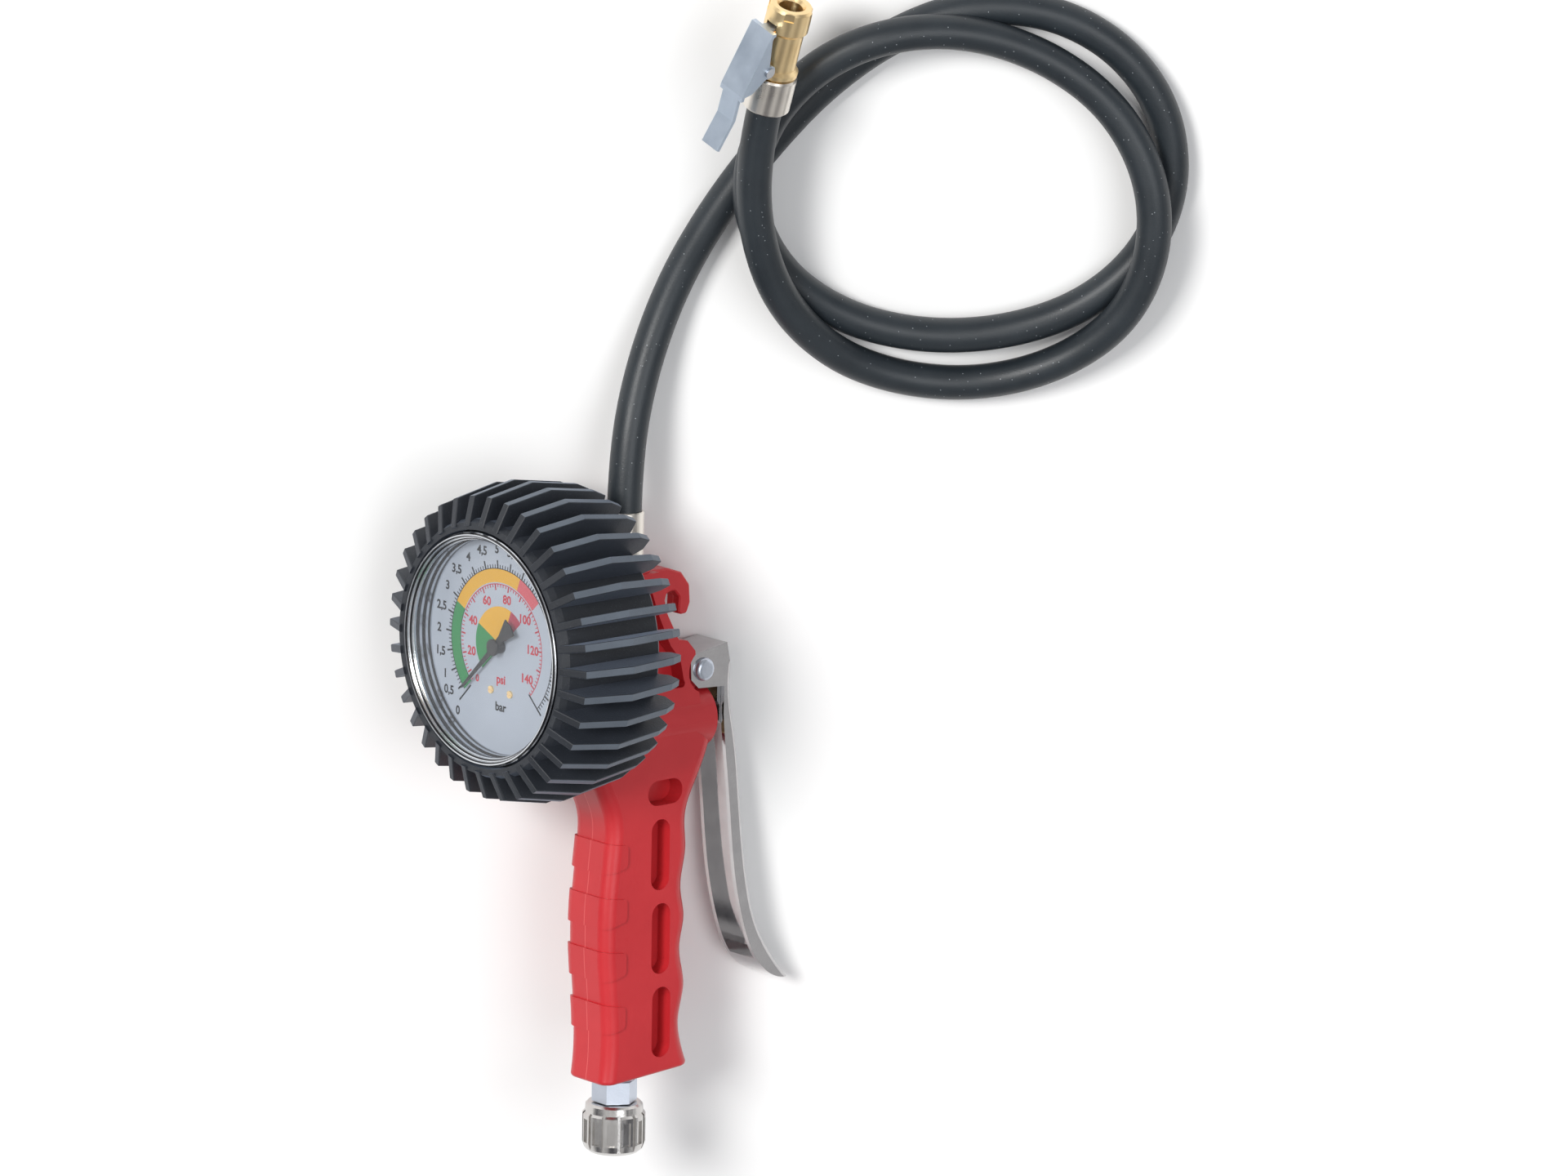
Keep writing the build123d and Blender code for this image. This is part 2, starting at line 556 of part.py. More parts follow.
for name, face in (("movement_front_plate", PLATE_FACE), ("movement_rear_plate", 46.0)):
    with BuildPart() as plate:
        with BuildSketch(Plane.XZ.offset(face)):
            with Locations((0, -10)):
                RectangleRounded(21, 36, 3)
            with Locations((0, 0)):
                Circle(ARBOR_R + RUNNING, mode=Mode.SUBTRACT)
            with Locations((0, -SECTOR_DROP)):
                Circle(SECTOR_ARBOR_R + RUNNING, mode=Mode.SUBTRACT)
        extrude(amount=-1.0)
    keep(plate, name)
with BuildPart() as movement_pillars:
    with BuildSketch(Plane.XZ.offset(PLATE_FACE - 1.0)):
        with Locations((-8.4, 5.4), (8.4, 5.4), (-8.4, -25.4), (8.4, -25.4)):
            Circle(1.1)
    extrude(amount=-5.2)
keep(movement_pillars, "movement_pillars")

with BuildPart() as gauge_stem:
    with BuildSketch(Plane.XZ.offset(6.0)):
        Circle(3.9)
    extrude(amount=12.8)
    with BuildSketch(Plane.XZ.offset(19.1)):
        Circle(7.8)
    extrude(amount=5.3)
    with BuildSketch(Plane.XZ.offset(24.4)):
        with Locations((0, -10)):
            Rectangle(11, 36)
    extrude(amount=20.6)
    with BuildSketch(Plane.XZ.offset(18.6)):
        Circle(3.9)
    extrude(amount=8)
    with BuildSketch(Plane.XZ.offset(5.9)):
        Circle(1.5)
    extrude(amount=24, mode=Mode.SUBTRACT)
keep(gauge_stem, "gauge_stem")
with BuildPart() as bourdon_tube:
    with BuildSketch(Plane.YZ) as tube_section:
        with Locations((-35, 30)):
            SlotOverall(10, 3.0)
            SlotOverall(8.6, 1.6, mode=Mode.SUBTRACT)
    revolve(axis=Axis.Y, revolution_arc=250)
bourdon_tube.part = bourdon_tube.part.rotate(Axis.Y, -125 + 20)
keep(bourdon_tube, "bourdon_tube")

# ---- inlet: hexagonal fitting, washer and swivel nut ---------------------------------------------
with BuildPart() as inlet_fitting:
    add(stack_turned([(2.6, GRIP_BOTTOM + 10.4), (5.4, GRIP_BOTTOM + 10.4),
                      (5.4, GRIP_BOTTOM - 0.6), (6.8, GRIP_BOTTOM - 0.6), (6.8, NUT_TOP + 0.3),
                      (4.0, NUT_TOP + 0.3), (4.0, NUT_TOP - 3.6), (5.4, NUT_TOP - 3.6),
                      (5.4, NUT_TOP - 5.6), (2.6, NUT_TOP - 5.6)]).part)
    with BuildSketch(Plane.XY.offset(NUT_TOP + 0.4)):
        RegularPolygon(8.0, 6)
        Circle(5.0, mode=Mode.SUBTRACT)
    extrude(amount=GRIP_BOTTOM - 1.4 - NUT_TOP)
keep(inlet_fitting, "inlet_fitting")
inlet_washer = stack_turned([(2.8, NUT_TOP - 5.7), (5.3, NUT_TOP - 5.7), (5.3, NUT_TOP - 7.3),
                             (2.8, NUT_TOP - 7.3)])
keep(inlet_washer, "inlet_washer")
NUT_RIBS = 12
with BuildPart() as inlet_nut:
    add(stack_turned([(4.0 + RUNNING, NUT_TOP), (9.2, NUT_TOP), (10.0, NUT_TOP - 0.8),
                      (10.2, NUT_TOP - 3.2), (NUT_R, NUT_TOP - 4.0), (NUT_R, NUT_BOTTOM + 3.4),
                      (10.2, NUT_BOTTOM + 1.2), (8.8, NUT_BOTTOM), (6.9, NUT_BOTTOM),
                      (THREAD_R, NUT_BOTTOM + 1.2), (THREAD_R, NUT_BOTTOM + 9.9),
                      (6.0, NUT_BOTTOM + 9.9), (6.0, NUT_TOP - 3.2),
                      (4.0 + RUNNING, NUT_TOP - 3.2)]).part)
    for n in range(NUT_RIBS):
        turn = n * 360 / NUT_RIBS
        with BuildSketch(Plane.XY.offset(NUT_BOTTOM - 1)):
            with PolarLocations(NUT_R + 0.2, 1, start_angle=turn):
                Rectangle(2.1, 1.2)
        extrude(amount=NUT_TOP - NUT_BOTTOM + 2, mode=Mode.SUBTRACT)
    with BuildSketch(Plane.XY.offset(NUT_BOTTOM + 3.6)):
        with PolarLocations(NUT_R + 0.3, NUT_RIBS, start_angle=180 / NUT_RIBS):
            Rectangle(2.2, 2.8)
    extrude(amount=8.4, mode=Mode.SUBTRACT)
keep(inlet_nut, "inlet_nut")

# ---- outlet: barbed nipple and crimped hose ferrule ------------------------------------------------
COLLAR_TOP = BODY_TOP + 1.2
outlet_nipple = stack_turned([(1.8, BODY_TOP - 8.3), (4.95, BODY_TOP - 8.3), (4.95, COLLAR_TOP),
                              (7.0, COLLAR_TOP), (7.6, COLLAR_TOP + 0.8), (7.6, COLLAR_TOP + 2.0),
                              (7.0, COLLAR_TOP + 2.8), (3.4, COLLAR_TOP + 2.8),
                              (3.4, HOSE_START - 0.2), (1.8, HOSE_START - 0.2)])
keep(outlet_nipple, "outlet_nipple")
outlet_ferrule = stack_turned([(3.45, FERRULE_LOW), (FERRULE_R - 0.5, FERRULE_LOW),
                               (FERRULE_R, FERRULE_LOW + 0.6), (FERRULE_R, FERRULE_TOP - 0.4),
                               (FERRULE_R - 0.3, FERRULE_TOP), (HOSE_R + 0.05, FERRULE_TOP),
                               (HOSE_R + 0.05, HOSE_START - 0.05), (3.45, HOSE_START - 0.05)])
keep(outlet_ferrule, "outlet_ferrule")

# ---- hose: two loose loops on the table above the gun, each corner of its route a tangent arc ------
FLOOR = HOSE_R + 0.1      # height of the hose's centre line where it lies on the table
OVER = 18.6               # ... where it lies over one strand
STACK = 31.0              # ... and over two
hose_route = [
    (8.98, 99.1, 24.44), (8.98, 121.35, 21.11), (14, 149.5, 12), (24, 178.5, FLOOR),
    (38, 205.5, FLOOR), (54.5, 229.5, FLOOR), (73.5, 251.5, FLOOR), (96, 269, FLOOR),
    (121, 279.5, FLOOR), (148.5, 279, FLOOR), (173, 267, FLOOR), (190, 246, FLOOR),
    (195.5, 219, FLOOR), (187.5, 193, FLOOR), (168, 173.5, FLOOR), (141, 163, FLOOR),
    (111, 161, FLOOR), (82.5, 168.5, 8), (60, 186, 13), (48, 211, 17.5), (51, 238, 19),
    (67.5, 260, OVER), (91.5, 272.5, 18), (119.5, 274, 14.5), (148, 264.5, 11),
    (172, 247.5, 12.5), (186, 224, 17.5), (188.5, 197, OVER), (179.5, 171.5, 15.5),
    (159, 153, 9.5), (132, 144, FLOOR), (103, 146, 7), (77.5, 158.5, 14.5), (58.5, 181.5, 24),
    (49.5, 211, STACK - 1), (49.75, 239.45, STACK + 1.4), (53.4, 258.6, STACK + 5.6),
]


def corner_radii(route):
    """Give each corner 0.45 of its shorter run, divided by the tangent of half the turn."""
    radii = []
    for before, here, after in zip(route, route[1:], route[2:]):
        coming, going = Vector(here) - Vector(before), Vector(after) - Vector(here)
        turn = radians(coming.get_angle(going))
        radii.append(0.45 * min(coming.length, going.length) / tan(turn / 2))
    return radii


hose_radii = corner_radii(hose_route)
with BuildPart() as hose:
    with BuildLine() as hose_line:
        FilletPolyline(*hose_route, radius=hose_radii)
    with BuildSketch(Plane(origin=hose_route[0], z_dir=hose_line.line % 0)):
        Circle(HOSE_R)
    sweep()
hose.part.label = "hose"
export_step(hose.part, "parts/hose.step")
hose_length = sum(edge.length for edge in hose_line.edges())
runs = [(Vector(b) - Vector(a)).length for a, b in zip(hose_route, hose_route[1:])]
print("hose length", round(hose_length, 1), "smallest radius", round(min(hose_radii), 1),
      "runs", round(min(runs), 1), "to", round(max(runs), 1))
print("hose volume", round(hose.part.volume), "section times length",
      round(pi * HOSE_R ** 2 * hose_length))


# ---- clip-on chuck, drawn about its own Z axis and placed on the end of the hose --------------------
hose_end = Vector(hose_route[-1])
chuck_up = (hose_end - Vector(hose_route[-2])).normalized()
clip_side = Vector(-cos(radians(CLIP_ROLL)), 0, sin(radians(CLIP_ROLL)))
CHUCK = Plane(origin=hose_end - chuck_up * HOSE_DEPTH, x_dir=clip_side, z_dir=chuck_up).location


def keep_on_hose(piece, name):
    """Put a finished chuck piece on the end of the hose and write it as one STEP file."""
    placed = CHUCK * piece.part
    placed.label = name
    export_step(placed, f"parts/{name}.step")


chuck_ferrule = stack_turned([(HOSE_R + 0.05, 0), (CHUCK_FERRULE_R - 0.3, 0),
                              (CHUCK_FERRULE_R, 0.4), (CHUCK_FERRULE_R, CHUCK_FERRULE_LENGTH - 0.8),
                              (CHUCK_FERRULE_R - 0.5, CHUCK_FERRULE_LENGTH - 0.1),
                              (3.45, CHUCK_FERRULE_LENGTH - 0.1), (3.45, HOSE_DEPTH + 0.05),
                              (HOSE_R + 0.05, HOSE_DEPTH + 0.05)])
keep_on_hose(chuck_ferrule, "chuck_ferrule")

with BuildPart() as chuck_body:
    add(stack_turned([(1.8, HOSE_DEPTH + 0.2), (3.4, HOSE_DEPTH + 0.2),
                      (3.4, CHUCK_FERRULE_LENGTH), (6.9, CHUCK_FERRULE_LENGTH), (7.9, 13.8),
                      (7.9, 15.2), (6.6, 16.2), (6.6, 29.6), (CHUCK_R, 30.8), (CHUCK_R, 38.6),
                      (CHUCK_R - 0.7, CHUCK_LENGTH), (5.0, CHUCK_LENGTH), (MOUTH_R, 38.4),
                      (MOUTH_R, 28.8), (SEAL_R, 28.8), (SEAL_R, 24.0), (2.3, 24.0),
                      (2.3, 16.0), (1.8, 16.0)]).part)
    with BuildSketch(Plane.XZ) as lug_side:
        with BuildLine():
            Polyline((5.4, 14.6), (10.2, 14.6), (11.0, 17.0), (11.0, 19.0), (9.4, 20.8),
                     (5.4, 20.8), close=True)
        make_face()
        with Locations((CLIP_PIN_X, CLIP_PIN_Z)):
            Circle(1.25, mode=Mode.SUBTRACT)
    extrude(amount=1.9, both=True)
    with BuildSketch(Plane.XZ):
        with Locations((6.5, 32.0)):
            Rectangle(7.4, 3.6)
    extrude(amount=JAW_HALF + 0.4, both=True, mode=Mode.SUBTRACT)
    with BuildSketch(Plane.XY.offset(36.4)):
        with PolarLocations(CHUCK_R + 0.5, 4, start_angle=45):
            Rectangle(2.0, 3.4)
    extrude(amount=4, mode=Mode.SUBTRACT)
keep_on_hose(chuck_body, "chuck_body")
chuck_seal = stack_turned([(1.9, 24.1), (SEAL_R - 0.05, 24.1), (SEAL_R - 0.05, 26.3), (1.9, 26.3)])
keep_on_hose(chuck_seal, "chuck_seal")
depressor_pin = stack_turned([(0, 18.2), (2.3 - RUNNING, 18.2), (2.3 - RUNNING, 19.4),
                              (1.3, 19.4), (1.3, 28.2),
                              (0.9, 28.6), (0, 28.6)])
keep_on_hose(depressor_pin, "depressor_pin")

with BuildPart() as clip_lever:
    with BuildSketch(Plane.XZ):
        with BuildLine():
            Polyline((4.5, 31.6), (10.4, 31.6), (17.2, 9.6), (17.2, -0.6), (21.2, -11.6),
                     (22.4, -11.2), (18.5, -0.4), (18.5, 9.8), (11.4, 32.8), (4.5, 32.8),
                     close=True)
        make_face()
    extrude(amount=CLIP_HALF, both=True)
    with BuildSketch(Plane.XZ):
        with Locations((7, 31)):
            Rectangle(5.4, 6)
        with Locations((19, -4)):
            Rectangle(10, 24)
    extrude(amount=CLIP_HALF + 1, both=True, mode=Mode.SUBTRACT)
    with BuildSketch(Plane.XZ) as tongue:
        with BuildLine():
            Polyline((4.5, 31.6), (10.6, 31.6), (11.0, 32.8), (4.5, 32.8), close=True)
        make_face()
    extrude(amount=JAW_HALF, both=True)
    with BuildSketch(Plane.XZ) as tail:
        with BuildLine():
            Polyline((17.2, 9.6), (17.2, -0.6), (21.2, -11.6), (22.4, -11.2), (18.5, -0.4),
                     (18.5, 9.8), close=True)
        make_face()
    extrude(amount=3.9, both=True)
    for side in (1, -1):
        with BuildSketch(Plane.XZ.offset(side * (CLIP_HALF - CLIP_SHEET))):
            with BuildLine():
                Polyline((10.8, 30.6), (17.4, 9.4), (14.2, 10.2), (9.0, 15.2), (9.0, 20), close=True)
            make_face()
            with Locations((CLIP_PIN_X, CLIP_PIN_Z)):
                Circle(2.5)
                Circle(1.2, mode=Mode.SUBTRACT)
        extrude(amount=side * CLIP_SHEET)
keep_on_hose(clip_lever, "clip_lever")

with BuildPart() as clip_pin:
    with BuildSketch(Plane.XZ.offset(-CLIP_HALF - 0.5)):
        with Locations((CLIP_PIN_X, CLIP_PIN_Z)):
            Circle(1.2)
    extrude(amount=2 * CLIP_HALF + 1)
    for side in (1, -1):
        with BuildSketch(Plane.XZ.offset(side * CLIP_HALF)):
            with Locations((CLIP_PIN_X, CLIP_PIN_Z)):
                Circle(1.8)
        extrude(amount=side * 0.7)
keep_on_hose(clip_pin, "clip_pin")
with BuildPart() as clip_spring:
    with BuildLine() as clip_coil:
        Helix(pitch=0.8, height=1.5, radius=1.75, center=(CLIP_PIN_X, 2.3, CLIP_PIN_Z),
              direction=(0, 1, 0))
    with BuildSketch(Plane(origin=clip_coil.line @ 0, z_dir=clip_coil.line % 0)):
        Circle(0.3)
    sweep()
keep_on_hose(clip_spring, "clip_spring")

laid_out = Compound(children=list(gun_pieces.values())).bounding_box()
print("gun box", laid_out.min, laid_out.max)
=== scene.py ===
# %% [markdown]
# # A hand-held tyre inflator gun
# A red grip with an air valve inside, a chromed squeeze lever, a dial gauge in a ribbed rubber
# boot, a rubber hose lying in two loops, and a clip-on chuck. The solids come from the packed
# model and stay where they are. This lesson adds the soft hose, the printing on the dial and a
# finish for every piece. Everything is in metres, in the model's own frame.

# %% Load the frame
import json
import math

import bmesh
import bpy
import numpy as np
from mathutils import Matrix, Vector


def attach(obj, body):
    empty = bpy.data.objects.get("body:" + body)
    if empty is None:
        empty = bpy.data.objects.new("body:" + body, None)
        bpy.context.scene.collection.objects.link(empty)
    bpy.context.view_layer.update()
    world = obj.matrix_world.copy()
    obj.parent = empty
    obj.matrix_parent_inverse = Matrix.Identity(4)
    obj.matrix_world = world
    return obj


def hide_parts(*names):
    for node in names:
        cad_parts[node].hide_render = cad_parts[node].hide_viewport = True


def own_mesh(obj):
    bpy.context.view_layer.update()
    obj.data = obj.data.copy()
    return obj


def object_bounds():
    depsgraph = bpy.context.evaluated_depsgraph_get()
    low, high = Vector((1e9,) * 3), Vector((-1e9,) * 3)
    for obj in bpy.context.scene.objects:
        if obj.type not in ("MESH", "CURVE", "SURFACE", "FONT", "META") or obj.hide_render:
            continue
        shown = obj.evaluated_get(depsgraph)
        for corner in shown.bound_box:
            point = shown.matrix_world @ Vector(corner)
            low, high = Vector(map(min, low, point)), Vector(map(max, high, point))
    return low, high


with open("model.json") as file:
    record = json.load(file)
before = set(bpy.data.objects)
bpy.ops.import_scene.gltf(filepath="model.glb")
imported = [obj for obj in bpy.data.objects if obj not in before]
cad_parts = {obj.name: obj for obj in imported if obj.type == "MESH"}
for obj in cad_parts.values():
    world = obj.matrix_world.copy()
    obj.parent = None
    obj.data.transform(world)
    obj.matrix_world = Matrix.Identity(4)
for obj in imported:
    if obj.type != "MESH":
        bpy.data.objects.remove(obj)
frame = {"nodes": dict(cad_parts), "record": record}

solid_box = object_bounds()
nodes = frame["nodes"]
MM = 0.001
print("solids:", len(nodes))
print("box:", [[round(v, 3) for v in corner] for corner in solid_box])

# %% [markdown]
# ## The gun's own axes
# The gun was drawn upright and then laid on its back with a roll, so a point on the dial is easy
# to say in the gun's own axes: X across it, Y from the dial back to the lever, Z up the grip.
# One matrix takes such a point to the table.

# %% Gun axes
REST_TILT = math.radians(-98.52)
REST_ROLL = math.radians(-52.21)
REST_SHIFT = Vector((8.98, 63.30, 29.81)) * MM
GUN = (Matrix.Translation(REST_SHIFT) @ Matrix.Rotation(REST_TILT, 4, "X")
       @ Matrix.Rotation(REST_ROLL, 4, "Z"))
GUN_X, GUN_Y, GUN_Z = (GUN.to_3x3().col[i].copy() for i in range(3))
print("grip runs along", [round(v, 3) for v in GUN_Z])

# %% [markdown]
# ## The camera
# A long lens far above the table flattens the perspective, as in a catalogue picture. The three
# vectors are the camera's right, up and backward directions.

# %% Camera
camera_data = bpy.data.cameras.new("product_camera")
camera_data.lens = 200.0
camera_data.sensor_width = 36.0
camera_data.clip_start = 0.1
camera_data.clip_end = 20.0
camera_data.dof.use_dof = False
camera = bpy.data.objects.new("product_camera", camera_data)
bpy.context.scene.collection.objects.link(camera)
CAMERA_PLACE = Vector((-139.85, 1128.64, 2824.90)) * MM
camera_right = Vector((0.9977, 0.0302, 0.0616)).normalized()
camera_back = Vector((-0.0682, 0.3512, 0.9340)).normalized()
camera_up = camera_back.cross(camera_right).normalized()
camera_right = camera_up.cross(camera_back)
camera_axes = Matrix((camera_right, camera_up, camera_back)).transposed()
camera.rotation_mode = "QUATERNION"
camera.rotation_quaternion = camera_axes.to_quaternion()
camera.location = CAMERA_PLACE
bpy.context.scene.camera = camera
print("camera height", round(camera.location.z, 2), "m")

# %% [markdown]
# ## The hose
# A real hose is one rubber tube, about a metre long, that springs into loose loops. A NURBS
# spline with a few control points bends as smoothly as rubber does. Its route starts in the
# ferrule on top of the gun, comes down to the table, makes two turns and ends in the chuck.

# %% Hose route
HOSE_R = 6.0 * MM
FLOOR = 6.1      # the hose's middle, in millimetres, where it lies on the table
OVER = 18.6      # where it lies on one other turn
STACK = 31.0     # where it lies on two
hose_route = [
    (8.98, 99.1, 24.44), (8.98, 121.35, 21.11), (14, 149.5, 12), (24, 178.5, FLOOR),
    (38, 205.5, FLOOR), (54.5, 229.5, FLOOR), (73.5, 251.5, FLOOR), (96, 269, FLOOR),
    (121, 279.5, FLOOR), (148.5, 279, FLOOR), (173, 267, FLOOR), (190, 246, FLOOR),
    (195.5, 219, FLOOR), (187.5, 193, FLOOR), (168, 173.5, FLOOR), (141, 163, FLOOR),
    (111, 161, FLOOR), (82.5, 168.5, 8), (60, 186, 13), (48, 211, 17.5), (51, 238, 19),
    (67.5, 260, OVER), (91.5, 272.5, 18), (119.5, 274, 14.5), (148, 264.5, 11),
    (172, 247.5, 12.5), (186, 224, 17.5), (188.5, 197, OVER), (179.5, 171.5, 15.5),
    (159, 153, 9.5), (132, 144, FLOOR), (103, 146, 7), (77.5, 158.5, 14.5), (58.5, 181.5, 24),
    (49.5, 211, STACK - 1), (49.75, 239.45, STACK + 1.4), (53.4, 258.6, STACK + 5.6),
]
print("hose points", len(hose_route))

# %% [markdown]
# ## The hose's thickness
# A round bevel of one metre, scaled at each point by the hose's own radius, gives the curve its
# thickness and keeps its box tight. The order is set after the points, because a new spline has
# too few of them for it.

# %% Hose curve
hose_curve = bpy.data.curves.new("rubber_hose", "CURVE")
hose_curve.dimensions = "3D"
hose_line = hose_curve.splines.new("NURBS")
hose_line.points.add(len(hose_route) - 1)
for point, place in zip(hose_line.points, hose_route):
    point.co = (*(Vector(place) * MM), 1.0)
    point.radius = HOSE_R
hose_line.use_endpoint_u = True
hose_line.order_u = 3
hose_line.resolution_u = 12
hose_curve.bevel_depth = 1.0
hose_curve.bevel_resolution = 7
hose_curve.use_fill_caps = True
hose = bpy.data.objects.new("rubber_hose", hose_curve)
bpy.context.scene.collection.objects.link(hose)
print("hose", round(2 * HOSE_R / MM), "mm thick")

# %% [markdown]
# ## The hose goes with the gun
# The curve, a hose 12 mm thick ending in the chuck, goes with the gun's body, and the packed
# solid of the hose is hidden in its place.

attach(hose, "gun_body")
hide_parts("hose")

# %% [markdown]
# ## Arithmetic for shaders
# Shader maths reads best as ordinary arithmetic. `Wire` wraps one socket, and each operator on it
# adds the Math node of that name, so that a pattern can be written as a formula.

# %% Shader wires
class Wire:
    """One output socket of a material, which can be used in arithmetic."""

    def __init__(self, finish, socket):
        self.finish = finish
        self.socket = socket

    def math(self, operation, *others):
        """A Math node on this wire and the other wires or numbers, in that order."""
        return self.finish.node("ShaderNodeMath", {"operation": operation},
                                dict(enumerate((self, *others))))

    def __add__(self, other):
        return self.math("ADD", other)

    def __mul__(self, other):
        return self.math("MULTIPLY", other)

    def __truediv__(self, other):
        return self.math("DIVIDE", other)

    def __gt__(self, other):
        return self.math("GREATER_THAN", other)

    def __lt__(self, other):
        return self.math("LESS_THAN", other)

    __radd__ = __add__
    __rmul__ = __mul__

    def along(self, direction):
        """How far this vector reaches along a direction."""
        return self.finish.node("ShaderNodeVectorMath", {"operation": "DOT_PRODUCT"},
                                {0: self, 1: tuple(direction)}, "Value")


print("wires can add, multiply, divide and compare")

# %% [markdown]
# ## One builder for every material
# `Finish` starts a material with one Principled shader. Its `node` method adds any node from its
# type, its settings and the values or wires of its sockets, and the other methods are the few
# patterns that the finishes share: noise, spots, blends of colour, distances and bumps. What is
# the same all over a surface is given at the start and set on the shader's own sockets.

# %% Finish builder
class Finish:
    """A material with one Principled shader, and helpers that add nodes to it."""

    def __init__(self, name, **constants):
        self.material = bpy.data.materials.new(name)
        self.material.use_nodes = True
        self.tree = self.material.node_tree
        self.tree.nodes.clear()
        self.shader = self.tree.nodes.new("ShaderNodeBsdfPrincipled")
        output = self.tree.nodes.new("ShaderNodeOutputMaterial")
        self.tree.links.new(self.shader.outputs["BSDF"], output.inputs["Surface"])
        self.place = Wire(self, self.tree.nodes.new("ShaderNodeTexCoord").outputs["Object"])
        for key, value in constants.items():
            self.shader.inputs[key.replace("_", " ")].default_value = value

    def plug(self, socket, value):
        """Put a wire, a number or a colour into a socket."""
        if isinstance(value, Wire):
            self.tree.links.new(value.socket, socket)
        else:
            socket.default_value = value

    def node(self, kind, settings, sockets, output=0):
        """Add a node: its settings first, then its sockets."""
        made = self.tree.nodes.new(kind)
        for key, value in settings.items():
            setattr(made, key, value)
        for key, value in sockets.items():
            self.plug(made.inputs[key], value)
        return Wire(self, made.outputs[output])

    def noise(self, scale, detail=3.0, place=None):
        """Soft noise from 0 to 1, with this many lumps to the metre."""
        return self.node("ShaderNodeTexNoise", {}, {"Vector": place or self.place, "Scale": scale,
                                                    "Detail": detail, "Roughness": 0.6})

    def spots(self, scale, size):
        """Small round spots: 1 inside a spot of this size, and 0 outside."""
        cell = self.node("ShaderNodeTexVoronoi", {"feature": "F1"},
                         {"Vector": self.place, "Scale": scale}, "Distance")
        return cell < size

    def mix(self, factor, first, second):
        """Blend two colours."""
        return self.node("ShaderNodeMix", {"data_type": "RGBA"}, {0: factor, 6: first, 7: second}, 2)

    def facing(self):
        """The direction that the surface faces."""
        return self.node("ShaderNodeTexCoord", {}, {}, "Normal")

    def from_gun(self):
        """The vector to this point from the middle of the gun's top."""
        return self.node("ShaderNodeVectorMath", {"operation": "SUBTRACT"},
                         {0: self.place, 1: tuple(REST_SHIFT)})

    def round_the_dial(self):
        """Distances across and up from the gauge's axis, and the radius that they make, in metres."""
        place = self.from_gun()
        east, north = place.along(GUN_X), place.along(GUN_Z)
        return east, north, (east * east + north * north).math("SQRT")

    def bump(self, height, distance):
        """Raise the surface by a height from 0 to 1 times the distance in metres."""
        normal = self.node("ShaderNodeBump", {}, {"Height": height, "Distance": distance})
        self.plug(self.shader.inputs["Normal"], normal)

    def paint(self, **values):
        """Set the shader's sockets, such as Base_Color and Roughness, to wires or numbers."""
        for key, value in values.items():
            self.plug(self.shader.inputs[key.replace("_", " ")], value)
        return self.material


def rgb(*levels):
    """A linear colour from its usual 0 to 255 screen values, by the standard screen curve."""
    return (*[((level / 255 + 0.055) / 1.055) ** 2.4 for level in levels], 1.0)


finishes = {}
print("mid grey is", round(rgb(128, 128, 128)[0], 3), "in linear light")

# %% [markdown]
# ## Moulded red plastic
# The grip is injection moulded in one colour. Its skin has a very fine grain, and a thin raised
# line runs down the front where the two halves of the mould met. Both are only a hair deep, so
# a bump does for them. The line is also painted a paler pink, as a painted highlight.

# %% Red grip finish
PARTING_HALF = 0.22 * MM


def moulded_red():
    """Satin red with fine grain, and the mould's parting line along the front and back with a painted
    highlight.
    """
    finish = Finish("moulded_red", Specular_IOR_Level=0.5, IOR=1.46)
    cloudy = finish.noise(45.0)
    grain = finish.noise(2600.0, 2.0)
    colour = finish.mix(cloudy, rgb(186, 38, 45), rgb(204, 48, 54))
    across = finish.from_gun().along(GUN_X).math("ABSOLUTE")
    parting_ridge_highlight = across < PARTING_HALF
    # Painted highlight: the parting line is blended to a paler pink, as the light along its raised ridge.
    colour = finish.mix(parting_ridge_highlight * 0.5, colour, rgb(232, 104, 104))
    finish.bump(grain * 0.5 + parting_ridge_highlight * 1.4, 0.06 * MM)
    return finish.paint(Base_Color=colour, Roughness=cloudy * 0.12 + 0.30)


finishes["red_body"] = moulded_red()
print("grip: moulded red")

# %% [markdown]
# ## The boot's rubber
# The boot is soft black rubber. Its rib crests carry painted light: they are blended to a lighter
# blue-grey, while the sides stay black. A crest is where the surface faces straight out from the
# gauge's axis, high enough to be on a rib. Sheen gives the sides their soft, powdery edge.

# %% Boot rubber finish
RIB_FOOT = 47.5 * MM


def boot_rubber():
    """Matte black rubber, with rib crests painted a blotchy blue-grey as painted light."""
    finish = Finish("boot_rubber", Specular_IOR_Level=0.45, Sheen_Weight=0.3, Sheen_Roughness=0.4,
                    Sheen_Tint=rgb(165, 180, 205))
    blotch = finish.noise(70.0, 4.0)
    east, north, radius = finish.round_the_dial()
    facing = finish.facing()
    outward = (east * facing.along(GUN_X) + north * facing.along(GUN_Z)) / radius
    # Painted light: the rib crests that face outward are blended to a lighter blue-grey, as the light on
    # them.
    painted_light_crest = (outward > 0.8) * (radius > RIB_FOOT)
    colour = finish.mix(blotch, rgb(27, 30, 35), rgb(42, 46, 53))
    colour = finish.mix(painted_light_crest * (blotch * 0.5 + 0.5), colour, rgb(98, 107, 118))
    colour = finish.mix(finish.spots(900.0, 0.10) * 0.5, colour, rgb(96, 102, 112))
    finish.bump(finish.noise(1500.0, 3.0), 0.08 * MM)
    return finish.paint(Base_Color=colour, Roughness=blotch * 0.2 + 0.38)


finishes["boot_rubber"] = boot_rubber()
# The blue-grey on the crests is painted light.
print("boot: black rubber, dulled on its crests")

# %% [markdown]
# ## The hose's rubber and the seals
# The hose was drawn through a die, so it is smoother and glossier than the boot, with a few tiny
# pale specks. The washers and seals are plain and matte.

